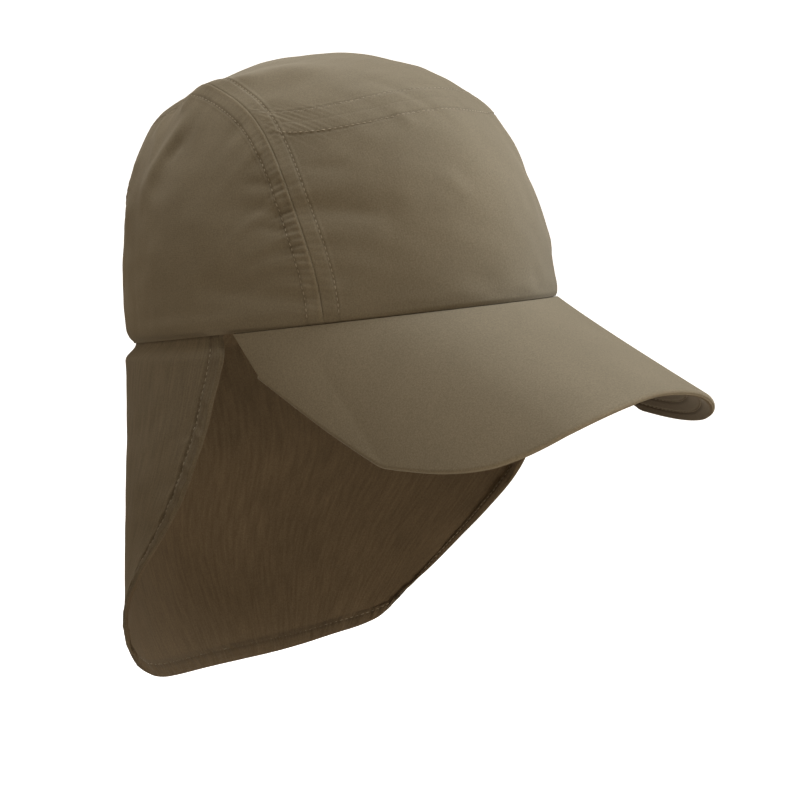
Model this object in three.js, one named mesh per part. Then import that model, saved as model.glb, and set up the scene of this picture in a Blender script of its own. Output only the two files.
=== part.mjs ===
// Legionnaire cap: a crown of four sewn cloth panels, a curved peak and a hanging neck flap.
// Lengths are millimetres and +Z is up. The front faces -Y and the wearer's right side is -X.
// The origin is the middle of the rim, where a head carries the cap.

import * as THREE from 'three';

// Crown sizes
const CROWN_WIDTH = 163; // outside, across the rim
const RIM_FRONT = 106; // from the middle of the rim to its front
const RIM_BACK = 103; // from the middle of the rim to its back
const CROWN_HEIGHT = 110; // rim plane to the top
const CROWN_LEAN = 8; // how far behind the middle of the rim the top lies
const RIM_TILT = 10; // degrees by which the rim rises to the front
const PLAN_ROUNDNESS = 1.87; // exponent of the rim oval, 2 is an ellipse
const SIDE_ROUNDNESS = 2.62; // exponent of the upright sections
const CLOTH = 1.5; // wall of the crown panels
const SEAM_GAP = 0.3; // clearance between neighbouring pieces
const FACET_ALLOWANCE = 0.2; // how far the flat facets of the rim may lie inside its true curve

// Peak sizes
const PEAK_THICKNESS = 3; // stiffener with its cloth cover
const PEAK_WIDTH = 162.7; // across the widest station
const PEAK_STATION = 33.5; // how far ahead of the rim middle that station lies
const PEAK_REACH = 135.4; // from that station to the front edge
const PEAK_SQUARENESS = 2.79; // exponent of the outline, 2 is an ellipse
const PEAK_SLOPE = 32.3; // degrees by which the peak falls away from the rim plane
const PEAK_DROOP = 10.2; // extra fall at the sides
const PEAK_DROOP_CURVE = 5.36; // exponent of that fall along a quarter wave from the middle
const PEAK_TWIST = 3.5; // how far its left side stands above its middle, and its right side below
const PEAK_TURN = 4.7; // degrees by which its outline is turned to the wearer's left, as it is worn
const PEAK_SPREAD = 71.1; // degrees of the rim to each side that the root is sewn to
const ROOT_FLANGE = 7; // seam allowance turned up inside the rim
const FLANGE_CLOTH = 1.2; // thickness of that allowance

// Neck flap sizes
const FLAP_CLOTH = 1.5;
const FLAP_HEM = 9; // width of the turned hem on its free edges
const HEM_THICKNESS = 2.4;
const FLAP_TUCK = 7; // seam allowance turned up inside the rim
const FLAP_SIDE_DROP = 138; // rim to the lower corners
const FLAP_BACK_DROP = 158; // rim to the lowest point of the back edge
const FLAP_EDGE_SWEEP = 3.6; // exponent of the lower edge between its corners
const FLAP_START = 103.5; // degrees round the rim from the back where the flap begins

// The two side seams, from the front of the rim over the top to the back of the rim.
// over: degrees over the top from the front. slope: sideways share of the direction.
// rise and flat: how far the seam stands out and the strip between the seams falls in,
// both as shares of the distance from the middle of the rim.
const SIDE_SEAM = [
  { over: 0, slope: 0.96, rise: 0, flat: 0 },
  { over: 35, slope: 0.855, rise: 0.006, flat: 0.006 },
  { over: 70, slope: 0.6, rise: 0.014, flat: 0.012 },
  { over: 110, slope: 0.41, rise: 0.014, flat: 0.01 },
  { over: 150, slope: 0.4, rise: 0.01, flat: 0.006 },
  { over: 180, slope: 0.4, rise: 0, flat: 0 },
];
const SEAM_SHOULDER = 0.45; // how far beside the seam its rise fades, as a share of its slope
const STRIP_FULLNESS = 2.2; // exponent of the strip's cross section between the seams

// The cross seam between front and top panel, in degrees over the top.
const CROSS_SEAM_MIDDLE = 47;
const CROSS_SEAM_SWEEP = 19; // how much further back it meets the side seams

// Soft folds and dents of the cloth. A line runs between two places on the crown, each given by
// turn, degrees round from the front with the wearer's left positive, and lift, degrees above
// the rim. swell: height of the fold as a share of the crown height. spread: half width in degrees.
const FOLDS = [
  { turnA: -95, liftA: 63, turnB: -40, liftB: 67, swell: 0.016, spread: 5 },
  { turnA: -90, liftA: 56, turnB: -108, liftB: 40, swell: 0.014, spread: 5 },
  { turnA: -92, liftA: 50, turnB: -102, liftB: 42, swell: -0.012, spread: 5 },
  { turnA: -127, liftA: 50, turnB: -126, liftB: 36, swell: 0.014, spread: 6 },
  { turnA: -46, liftA: 28, turnB: -62, liftB: 32, swell: -0.008, spread: 4 },
  { turnA: -46, liftA: 7, turnB: -78, liftB: 14, swell: -0.01, spread: 4 },
  { turnA: -42, liftA: 28, turnB: -25, liftB: 23, swell: -0.01, spread: 4 },
  { turnA: 90, liftA: 57, turnB: 106, liftB: 44, swell: 0.012, spread: 6 },
  { turnA: -95, liftA: 84, turnB: 5, liftB: 78, swell: 0.02, spread: 9 },
  { turnA: 34, liftA: 45, turnB: 34, liftB: 37, swell: 0.018, spread: 6 },
  { turnA: -141, liftA: 30, turnB: -138, liftB: 44, swell: -0.013, spread: 11 },
  { turnA: -121, liftA: 62, turnB: -121, liftB: 71, swell: -0.016, spread: 7 },
];
const FOLD_START = 7; // degrees above the rim over which the folds come in

// How the flap hangs. drop: share of its length below the rim. side: half width as a share of
// the crown's half width. back: reach behind the rim middle as a share of RIM_BACK. ahead: how far
// the middle of its plan lies ahead of the rim's, as a share of RIM_BACK. edge: where its free
// edge lies round from the back, as a share of FLAP_START.
const FLAP_PLAN = [
  { drop: 0, side: 1, back: 1, ahead: 0, edge: 1 },
  { drop: 0.33, side: 1.15, back: 0.86, ahead: 0.08, edge: 0.945 },
  { drop: 0.67, side: 1.24, back: 0.89, ahead: 0.28, edge: 0.68 },
  { drop: 1, side: 1.41, back: 0.7, ahead: 0.26, edge: 0.395 },
];
const FLAP_RELEASE = 0.06; // share of its drop over which it leaves the curve of the rim
const FLAP_CORNER = 0.015; // how far its lower corners are drawn in
const FLAP_CORNER_REACH = 8; // exponent of that rounding, larger is tighter
const FLAP_HEM_SHARE = 1 - FLAP_HEM / FLAP_BACK_DROP; // where the lower hem begins

// Divisions of the surfaces
const STRIP_ROWS_FRONT = 16;
const STRIP_ROWS_TOP = 32;
const STRIP_COLUMNS = 18;
const SIDE_ROWS = 12;
const PEAK_COLUMNS = 36;
const PEAK_ROWS = 6;
const PEAK_ROOT_SHARE = 0.06; // where the under face of the peak meets its turned up root
const FLAP_COLUMNS = 36;
const FLAP_ROWS = 14;
const PROBE = 0.02; // step by which a surface is felt for its normal

const clothMaterial = (color) => new THREE.MeshStandardMaterial({ color, roughness: 0.92, metalness: 0 });
const CROWN_COLOUR = 0x6d6450;
const PEAK_COLOUR = 0x685f4b;
const FLAP_COLOUR = 0x5c523e;

// Value of a column of a table at a place between its rows, on a smooth curve through them.
function along(table, key, column, at) {
  const last = table.length - 1;
  let i = 0;
  while (i < last - 1 && at > table[i + 1][key]) i += 1;
  const slopeAt = (j) => {
    const before = table[Math.max(j - 1, 0)];
    const after = table[Math.min(j + 1, last)];
    return (after[column] - before[column]) / (after[key] - before[key]);
  };
  const a = table[i];
  const b = table[i + 1];
  const step = b[key] - a[key];
  const t = THREE.MathUtils.clamp((at - a[key]) / step, 0, 1);
  const u = 1 - t;
  const pull = slopeAt(i) * u - slopeAt(i + 1) * t;
  return a[column] * u * u * (1 + 2 * t) + b[column] * t * t * (3 - 2 * t) + pull * step * t * u;
}

const seamSlope = (over) => along(SIDE_SEAM, 'over', 'slope', over);

// Direction from the rim middle, over degrees over the top and slope to the wearer's left.
function strapDirection(over, slope) {
  const angle = THREE.MathUtils.degToRad(over);
  return new THREE.Vector3(slope, -Math.cos(angle), Math.sin(angle)).normalize();
}

// Direction from the rim middle, turn degrees round from the front and lift degrees up.
function turnDirection(turn, lift) {
  const [t, l] = [THREE.MathUtils.degToRad(turn), THREE.MathUtils.degToRad(lift)];
  return new THREE.Vector3(Math.sin(t) * Math.cos(l), -Math.cos(t) * Math.cos(l), Math.sin(l));
}

// How far the seams stand out and the strip between them falls in, as a share of the distance.
function seamRelief(d) {
  const over = THREE.MathUtils.radToDeg(Math.atan2(Math.max(d.z, 0), -d.y));
  const across = Math.abs(d.x) / Math.max(Math.hypot(d.y, d.z), 1e-6) / seamSlope(over);
  const rise = along(SIDE_SEAM, 'over', 'rise', over);
  const flat = along(SIDE_SEAM, 'over', 'flat', over);
  if (across > 1) return rise * Math.exp(-(((across - 1) / SEAM_SHOULDER) ** 2));
  return rise - (rise + flat) * (1 - across ** STRIP_FULLNESS);
}

// Height of the folds at a direction, in millimetres.
function foldRelief(d) {
  let height = 0;
  for (const fold of FOLDS) {
    const a = turnDirection(fold.turnA, fold.liftA);
    const b = turnDirection(fold.turnB, fold.liftB);
    const run = b.clone().sub(a);
    const t = THREE.MathUtils.clamp(d.clone().sub(a).dot(run) / run.lengthSq(), 0, 1);
    const away = d.distanceTo(a.addScaledVector(run, t)) / THREE.MathUtils.degToRad(fold.spread);
    height += fold.swell * CROWN_HEIGHT * Math.exp(-away * away);
  }
  return height;
}

// Point of the outer face of the crown, before the rim is tilted.
function crownShell(direction) {
  const d = direction.clone().normalize();
  const reach = d.y < 0 ? RIM_FRONT : RIM_BACK;
  const plan = (Math.abs(d.x) / (CROWN_WIDTH / 2)) ** PLAN_ROUNDNESS
    + (Math.abs(d.y) / reach) ** PLAN_ROUNDNESS;
  const upright = (Math.max(d.z, 0) / CROWN_HEIGHT) ** SIDE_ROUNDNESS;
  const radius = (plan ** (SIDE_ROUNDNESS / PLAN_ROUNDNESS) + upright) ** (-1 / SIDE_ROUNDNESS);
  const fade = THREE.MathUtils.smoothstep(d.z, 0, Math.sin(THREE.MathUtils.degToRad(FOLD_START)));
  const point = d.clone().multiplyScalar(radius * (1 + seamRelief(d)) + foldRelief(d) * fade);
  point.y += (CROWN_LEAN / CROWN_HEIGHT) * point.z;
  return point;
}

// Outward normal of the crown shell.
function crownNormal(direction) {
  const d = direction.clone().normalize();
  const pole = Math.abs(d.z) < Math.SQRT1_2 ? new THREE.Vector3(0, 0, 1) : new THREE.Vector3(0, 1, 0);
  const side = pole.cross(d).normalize();
  const up = d.clone().cross(side);
  const flatten = (v) => (v.z < 0 ? v.setZ(0) : v);
  const difference = (axis) => crownShell(flatten(d.clone().addScaledVector(axis, PROBE)))
    .sub(crownShell(flatten(d.clone().addScaledVector(axis, -PROBE))));
  return difference(side).cross(difference(up)).normalize();
}

// Point of the crown a depth under its outer face.
function crownPoint(direction, depth) {
  const normal = crownNormal(direction);
  const point = crownShell(direction);
  if (direction.z < 1e-6) normal.setZ(0).normalize();
  return point.addScaledVector(normal, -depth);
}

// The rim at a turn from the front, a depth inside it and a height above its plane.
function rimPoint(turn, depth, height) {
  const flat = turnDirection(turn, 0);
  if (height <= 0) return crownPoint(flat, depth).setZ(height);
  const lift = THREE.MathUtils.radToDeg(Math.atan2(height, crownShell(flat).length()));
  return crownPoint(turnDirection(turn, lift), depth);
}

// Tips a point of the level cap so that the rim rises to the front.
function tilt(point) {
  return point.applyAxisAngle(new THREE.Vector3(1, 0, 0), THREE.MathUtils.degToRad(-RIM_TILT));
}

// Closed solid through rings of points. A ring goes out along one face and back along the other,
// so its ends are capped by joining each point to the one across from it.
function loftSolid(rings) {
  const count = rings[0].length;
  const half = Math.floor(count / 2);
  const positions = rings.flat().flatMap((p) => [p.x, p.y, p.z]);
  const indices = [];
  for (let r = 0; r < rings.length - 1; r += 1) {
    for (let i = 0; i < count; i += 1) {
      const a = r * count + i;
      const b = r * count + ((i + 1) % count);
      indices.push(a, b, b + count, a, b + count, a + count);
    }
  }
  const end = (rings.length - 1) * count;
  for (let a = 0; a < half - 1; a += 1) {
    const b = a + 1;
    const c = count - 2 - a;
    const d = count - 1 - a;
    indices.push(a, c, b, a, d, c);
    indices.push(end + a, end + b, end + c, end + a, end + c, end + d);
  }
  if (count % 2 === 1) {
    indices.push(half - 1, half + 1, half);
    indices.push(end + half - 1, end + half, end + half + 1);
  }
  return closedGeometry(positions, indices);
}

// Closed solid between an outer and an inner sheet of points with the same rows and columns.
function sheetSolid(outer, inner) {
  const rings = outer.map((row, r) => [...row, ...[...inner[r]].reverse()]);
  return loftSolid(rings);
}

// Geometry whose faces point outwards, whichever way its rings were wound.
function closedGeometry(positions, indices) {
  const corner = (i) => new THREE.Vector3().fromArray(positions, indices[i] * 3);
  let volume = 0;
  for (let i = 0; i < indices.length; i += 3) {
    volume += corner(i).dot(corner(i + 1).cross(corner(i + 2)));
  }
  if (volume < 0) {
    for (let i = 0; i < indices.length; i += 3) {
      [indices[i + 1], indices[i + 2]] = [indices[i + 2], indices[i + 1]];
    }
  }
  const geometry = new THREE.BufferGeometry();
  geometry.setAttribute('position', new THREE.Float32BufferAttribute(positions, 3));
  geometry.setIndex(indices);
  geometry.computeVertexNormals();
  return geometry;
}

// Numbers from a to b in equal steps.
const steps = (count, a, b) => Array.from({ length: count + 1 }, (_, i) => a + ((b - a) * i) / count);

// Cross seam position at a share across the strip, from -1 on the right seam to 1 on the left.
const crossSeam = (across) => CROSS_SEAM_MIDDLE + CROSS_SEAM_SWEEP * across * across;

// Half of the seam gap at the cross seam, as degrees over the top.
const CROSS_GAP = THREE.MathUtils.radToDeg(SEAM_GAP / CROWN_WIDTH);

// Slope of a panel's edge beside the side seam: side -1 lies on the strip, 1 on the side panel.
function edgeSlope(over, side) {
  const slope = seamSlope(over);
  const radius = crownShell(strapDirection(over, slope)).length();
  return slope + (side * (SEAM_GAP / 2) * (1 + slope * slope)) / radius;
}

// Panel between the side seams, from one line over the top to another.
function stripPanel(rows, start, end) {
  const sheet = (depth) => steps(rows, 0, 1).map((share) => steps(STRIP_COLUMNS, -1, 1).map((across) => {
    const over = start(across) + (end(across) - start(across)) * share;
    const slope = across * edgeSlope(over, -1);
    return tilt(crownPoint(strapDirection(over, slope), depth));
  }));
  return sheetSolid(sheet(0), sheet(CLOTH));
}

// Flat map of the side of the crown, seen from the wearer's left, and back to a direction.
const toMap = (d) => new THREE.Vector2(d.y, d.z).divideScalar(1 + d.x);
function fromMap(m) {
  const square = m.lengthSq();
  const x = (1 - square) / (1 + square);
  return new THREE.Vector3(x, m.x * (1 + x), m.y * (1 + x));
}

// Seam positions shared by the strip and the side panels.
function seamStations() {
  const front = steps(STRIP_ROWS_FRONT, 0, crossSeam(1));
  const top = steps(STRIP_ROWS_TOP, crossSeam(1), 180).slice(1);
  return [...front, ...top];
}

// Side panel between the rim and a side seam. side is -1 for the wearer's right and 1 for the left.
function sidePanel(side) {
  const stations = seamStations();
  const columns = stations.length - 1 - 2 * SIDE_ROWS;
  const seam = stations.map((over) => toMap(strapDirection(over, edgeSlope(over, 1))));
  const foot = (over) => THREE.MathUtils.radToDeg(Math.atan(edgeSlope(over, 1)));
  const turns = steps(columns, foot(0), 180 - foot(180));
  const rim = turns.map((turn) => toMap(turnDirection(turn, 0)));
  const top = seam.slice(SIDE_ROWS, SIDE_ROWS + columns + 1);
  const front = seam.slice(0, SIDE_ROWS + 1);
  const back = seam.slice(SIDE_ROWS + columns).reverse();
  const mapAt = (i, j) => {
    const [u, v] = [i / columns, j / SIDE_ROWS];
    const point = rim[i].clone().multiplyScalar(1 - v).addScaledVector(top[i], v);
    point.addScaledVector(front[j], 1 - u).addScaledVector(back[j], u);
    point.addScaledVector(rim[0], -(1 - u) * (1 - v)).addScaledVector(rim[columns], -u * (1 - v));
    return point.addScaledVector(top[0], -(1 - u) * v).addScaledVector(top[columns], -u * v);
  };
  const sheet = (depth) => steps(SIDE_ROWS, 0, SIDE_ROWS).map((j) => steps(columns, 0, columns).map((i) => {
    const direction = fromMap(mapAt(i, j));
    if (j === 0) direction.z = 0;
    direction.x *= side;
    return tilt(crownPoint(direction, depth));
  }));
  return sheetSolid(sheet(0), sheet(CLOTH));
}

// How far ahead of the rim middle the rim lies at a distance to the side.
function rimAhead(x) {
  const half = CROWN_WIDTH / 2;
  const rootSide = Math.abs(crownShell(turnDirection(PEAK_SPREAD, 0)).x);
  const share = Math.min(Math.abs(x), rootSide) / half;
  return RIM_FRONT * (1 - share ** PLAN_ROUNDNESS) ** (1 / PLAN_ROUNDNESS);
}

// Outer edge of the peak at sweep radians round its outline, before the rim is tilted.
function peakEdge(sweep) {
  const side = Math.sin(sweep);
  const ahead = Math.max(Math.cos(sweep), 0);
  const power = Math.abs(side) ** PEAK_SQUARENESS + ahead ** PEAK_SQUARENESS;
  const radius = power ** (-1 / PEAK_SQUARENESS);
  const x = (PEAK_WIDTH / 2) * side * radius;
  const reach = PEAK_STATION + PEAK_REACH * ahead * radius;
  const fall = Math.tan(THREE.MathUtils.degToRad(PEAK_SLOPE)) * (reach - rimAhead(x));
  const share = x / (PEAK_WIDTH / 2);
  const droop = PEAK_DROOP * Math.sin((Math.PI / 2) * Math.abs(share)) ** PEAK_DROOP_CURVE;
  const level = new THREE.Vector3(x, -reach, -SEAM_GAP - fall - droop + PEAK_TWIST * share);
  return level.applyAxisAngle(new THREE.Vector3(0, 0, 1), THREE.MathUtils.degToRad(PEAK_TURN));
}

// Point of the upper face of the peak at a sweep and a share of the way from root to edge.
function peakTop(sweep, share) {
  const turn = (PEAK_SPREAD * sweep) / (Math.PI / 2);
  return rimPoint(turn, 0, -SEAM_GAP).lerp(peakEdge(sweep), share);
}

// Point a depth under the upper face of the peak.
function peakUnder(sweep, share, depth) {
  const before = Math.max(sweep - PROBE, -Math.PI / 2);
  const after = Math.min(sweep + PROBE, Math.PI / 2);
  const across = peakTop(after, share).sub(peakTop(before, share));
  const outwards = peakTop(sweep, 1).sub(peakTop(sweep, 0));
  const normal = across.cross(outwards).normalize();
  const down = normal.z < 0 ? depth : -depth;
  return peakTop(sweep, share).addScaledVector(normal, down);
}

// Peak: a curved stiff sheet whose root passes under the rim and turns up inside it.
function peak() {
  const inside = CLOTH + SEAM_GAP + FACET_ALLOWANCE;
  const shares = steps(PEAK_ROWS, 0, 1);
  const underShares = steps(PEAK_ROWS, 1, PEAK_ROOT_SHARE);
  return loftSolid(steps(PEAK_COLUMNS, -Math.PI / 2, Math.PI / 2).map((sweep) => {
    const turn = (PEAK_SPREAD * sweep) / (Math.PI / 2);
    const nose = peakUnder(sweep, 1 + PEAK_THICKNESS / (2 * PEAK_REACH), PEAK_THICKNESS / 2);
    const ring = [
      rimPoint(turn, inside, ROOT_FLANGE),
      rimPoint(turn, inside, -SEAM_GAP),
      ...shares.map((share) => peakTop(sweep, share)),
      nose,
      ...underShares.map((share) => peakUnder(sweep, share, PEAK_THICKNESS)),
      rimPoint(turn, inside + FLANGE_CLOTH, -SEAM_GAP - PEAK_THICKNESS),
      rimPoint(turn, inside + FLANGE_CLOTH, ROOT_FLANGE),
    ];
    return ring.map(tilt);
  }));
}

// Outer face of the hanging flap. across runs from -1 at its right free edge to 1 at its left,
// and share from 0 at the rim to 1 at its lower edge.
function flapOuter(across, share) {
  const column = (name) => along(FLAP_PLAN, 'drop', name, share);
  const sweep = across * (1 - FLAP_CORNER * share ** FLAP_CORNER_REACH);
  const fall = share * (1 - FLAP_CORNER * Math.abs(across) ** FLAP_CORNER_REACH);
  const round = sweep * FLAP_START * column('edge');
  const angle = THREE.MathUtils.degToRad(round);
  const top = tilt(rimPoint(180 - round, CLOTH + SEAM_GAP + FACET_ALLOWANCE, 0));
  const ahead = RIM_BACK * column('ahead');
  const free = new THREE.Vector3(
    (CROWN_WIDTH / 2) * column('side') * Math.sin(angle),
    (RIM_BACK * column('back') + ahead) * Math.cos(angle) - ahead,
    0,
  );
  const drop = FLAP_BACK_DROP - (FLAP_BACK_DROP - FLAP_SIDE_DROP) * Math.abs(across) ** FLAP_EDGE_SWEEP;
  const height = top.z * (1 - fall) - drop * fall;
  return top.lerp(free, THREE.MathUtils.smoothstep(fall, 0, FLAP_RELEASE)).setZ(height);
}

// Point a depth behind the outer face of the flap.
function flapInner(across, share, depth) {
  const [left, right] = [Math.min(across + PROBE, 1), Math.max(across - PROBE, -1)];
  const [low, high] = [Math.min(share + PROBE, 1), Math.max(share - PROBE, 0)];
  const sideways = flapOuter(left, share).sub(flapOuter(right, share));
  const down = flapOuter(across, low).sub(flapOuter(across, high));
  const outwards = sideways.cross(down).normalize();
  return flapOuter(across, share).addScaledVector(outwards, -depth);
}

// Where the side hems begin across the flap, from its width halfway down.
function sideHemStart() {
  const points = steps(FLAP_COLUMNS, 0, 1).map((across) => flapOuter(across, 0.5));
  const half = points.slice(1).reduce((sum, point, i) => sum + point.distanceTo(points[i]), 0);
  return 1 - FLAP_HEM / half;
}

// Neck flap: one cloth with a turned hem, its upper edge turned up inside the rim.
function neckFlap() {
  const inside = CLOTH + SEAM_GAP + FACET_ALLOWANCE;
  const hemAcross = sideHemStart();
  const columns = [-1, ...steps(FLAP_COLUMNS, -hemAcross, hemAcross), 1];
  const rows = [...steps(FLAP_ROWS, 0, FLAP_HEM_SHARE), 1];
  const tuck = (depth) => [FLAP_TUCK, FLAP_TUCK / 2].map((height) => columns.map(
    (across) => tilt(rimPoint(180 - across * FLAP_START, depth, height)),
  ));
  const thickness = (across, share) => {
    const hemmed = Math.abs(across) > hemAcross || share > FLAP_HEM_SHARE;
    return hemmed ? HEM_THICKNESS : FLAP_CLOTH;
  };
  const hang = (face) => rows.map((share) => columns.map((across) => face(across, share)));
  const inner = (across, share) => flapInner(across, share, thickness(across, share));
  return sheetSolid(
    [...tuck(inside), ...hang(flapOuter)],
    [...tuck(inside + FLAP_CLOTH), ...hang(inner)],
  );
}

function piece(name, geometry, color) {
  const mesh = new THREE.Mesh(geometry, clothMaterial(color));
  mesh.name = name;
  return mesh;
}

const frontPanel = stripPanel(STRIP_ROWS_FRONT, () => 0, (across) => crossSeam(across) - CROSS_GAP);
const topPanel = stripPanel(STRIP_ROWS_TOP, (across) => crossSeam(across) + CROSS_GAP, () => 180);

const crown = new THREE.Group();
crown.name = 'crown';
crown.add(piece('front_panel', frontPanel, CROWN_COLOUR));
crown.add(piece('top_panel', topPanel, CROWN_COLOUR));
crown.add(piece('side_panel_right', sidePanel(-1), CROWN_COLOUR));
crown.add(piece('side_panel_left', sidePanel(1), CROWN_COLOUR));

const cap = new THREE.Group();
cap.name = 'legionnaire_cap';
cap.add(crown);
cap.add(piece('peak', peak(), PEAK_COLOUR));
cap.add(piece('neck_flap', neckFlap(), FLAP_COLOUR));

export default cap;
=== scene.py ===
"""Legionnaire cap: sewn cloth crown, long curved peak and hanging neck flap, in a plain studio.

Shapes are worked out in millimetres and written to the meshes in metres. +Z is up, the front
faces -Y, and the origin is the middle of the rim, where a head carries the cap.
"""

import logging
import math
from dataclasses import dataclass
from enum import Enum
from typing import Callable

import bmesh
import bpy
import numpy as np
from mathutils import Matrix, Vector

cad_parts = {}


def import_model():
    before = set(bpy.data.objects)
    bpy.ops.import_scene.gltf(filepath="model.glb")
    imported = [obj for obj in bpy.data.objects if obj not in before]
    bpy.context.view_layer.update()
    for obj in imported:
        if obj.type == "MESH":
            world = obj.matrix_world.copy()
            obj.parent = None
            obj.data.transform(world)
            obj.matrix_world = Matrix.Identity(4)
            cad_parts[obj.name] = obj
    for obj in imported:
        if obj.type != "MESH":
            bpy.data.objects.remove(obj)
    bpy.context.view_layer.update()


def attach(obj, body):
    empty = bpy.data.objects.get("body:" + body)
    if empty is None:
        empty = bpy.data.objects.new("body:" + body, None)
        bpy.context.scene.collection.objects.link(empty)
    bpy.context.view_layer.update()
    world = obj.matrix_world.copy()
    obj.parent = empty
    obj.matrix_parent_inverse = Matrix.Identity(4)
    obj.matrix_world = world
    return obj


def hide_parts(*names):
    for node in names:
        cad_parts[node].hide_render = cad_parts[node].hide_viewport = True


MM = 0.001
LOG = logging.getLogger("legionnaire_cap")
Array = np.ndarray
Row = tuple[float, ...]
Table = tuple[Row, ...]
Colour = tuple[float, float, float]
Place = Callable[[Array, Array], Array]
Wall = Callable[[Array, Array, int], Array]
Shape = bmesh.types.BMesh
Piece = bpy.types.Object
Socket = bpy.types.NodeSocket


class Side(Enum):
    """A side of the cap, as its wearer names it."""

    RIGHT = -1
    LEFT = 1


# Numbers and curves


def smooth_step(x: Array, low: float, high: float) -> Array:
    """Soft step from 0 at low to 1 at high."""
    t = np.clip((x - low) / (high - low), 0, 1)
    return t * t * (3 - 2 * t)


def bell(x: Array, width: float) -> Array:
    """Bell curve of height 1 that fades over width."""
    return np.exp(-((x / width) ** 2))


def table_curve(keys: Array, values: Array, at: Array) -> Array:
    """Smooth curve through the rows of a table.

    Args:
        keys: where the rows lie.
        values: what they hold.
        at: where the curve is wanted.

    Returns:
        The curve's values there.
    """
    tangents = np.gradient(values)
    tangents[1:-1] = (values[2:] - values[:-2]) / (keys[2:] - keys[:-2])
    tangents[0] = (values[1] - values[0]) / (keys[1] - keys[0])
    tangents[-1] = (values[-1] - values[-2]) / (keys[-1] - keys[-2])
    i = np.clip(np.searchsorted(keys, at, side="left") - 1, 0, len(keys) - 2)
    step = keys[i + 1] - keys[i]
    t = np.clip((at - keys[i]) / step, 0, 1)
    u = 1 - t
    pull = tangents[i] * u - tangents[i + 1] * t
    return values[i] * u * u * (1 + 2 * t) + values[i + 1] * t * t * (3 - 2 * t) + pull * step * t * u


def unit(v: Array) -> Array:
    """Vectors of length 1."""
    return v / np.maximum(np.linalg.norm(v, axis=-1, keepdims=True), 1e-9)


def turned(turn: Array, lift: Array) -> Array:
    """Directions a turn round from the front and a lift above the rim, in degrees."""
    t, l = np.radians(turn), np.radians(lift)
    return np.stack([np.sin(t) * np.cos(l), -np.cos(t) * np.cos(l), np.sin(l)], -1)


def over_top(over: Array, slope: Array) -> Array:
    """Directions over the top by degrees from the front, slope to the wearer's left."""
    a = np.radians(over)
    return unit(np.stack([slope, -np.cos(a), np.sin(a)], -1))


class Ripple:
    """Uneven soft waves along a line of up to 700 mm."""

    def __init__(self, seed: int, pitch: float, even: float = 0.0) -> None:
        """Draws the waves.

        Args:
            seed: which waves.
            pitch: distance between knots in millimetres.
            even: least height of waves that go up and down by turns, or 0 for free ones.
        """
        self.pitch = pitch
        self.knots = np.random.default_rng(seed).uniform(-1, 1, int(700 / pitch) + 4)
        if even:
            turns = np.where(np.arange(len(self.knots)) % 2, 1, -1)
            self.knots = (even + (1 - even) * np.abs(self.knots)) * turns

    def at(self, place: Array) -> Array:
        """Height of the waves.

        Args:
            place: along the line, in millimetres.

        Returns:
            Heights from -1 to 1.
        """
        p = np.clip(np.asarray(place) / self.pitch, 0, len(self.knots) - 2.001)
        i = p.astype(int)
        f = p - i
        f = f * f * (3 - 2 * f)
        return self.knots[i] * (1 - f) + self.knots[i + 1] * f


class Crumple:
    """Soft unevenness of cloth over an area, as a sum of random waves."""

    def __init__(self, seed: int, size: float) -> None:
        """Draws the waves.

        Args:
            seed: which waves.
            size: of the creases in millimetres.
        """
        count = 14
        draw = np.random.default_rng(seed)
        way = unit(draw.normal(size=(count, 3)))
        self.waves = way * (2 * math.pi / (size * draw.uniform(0.7, 2.2, (count, 1))))
        self.phases = draw.uniform(0, 2 * math.pi, count)

    def at(self, points: Array) -> Array:
        """Height, about -1 to 1, at points in millimetres."""
        waves = np.sin(points @ self.waves.T + self.phases)
        return waves.sum(-1) / math.sqrt(2 * len(self.phases))


# Finishes


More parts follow.
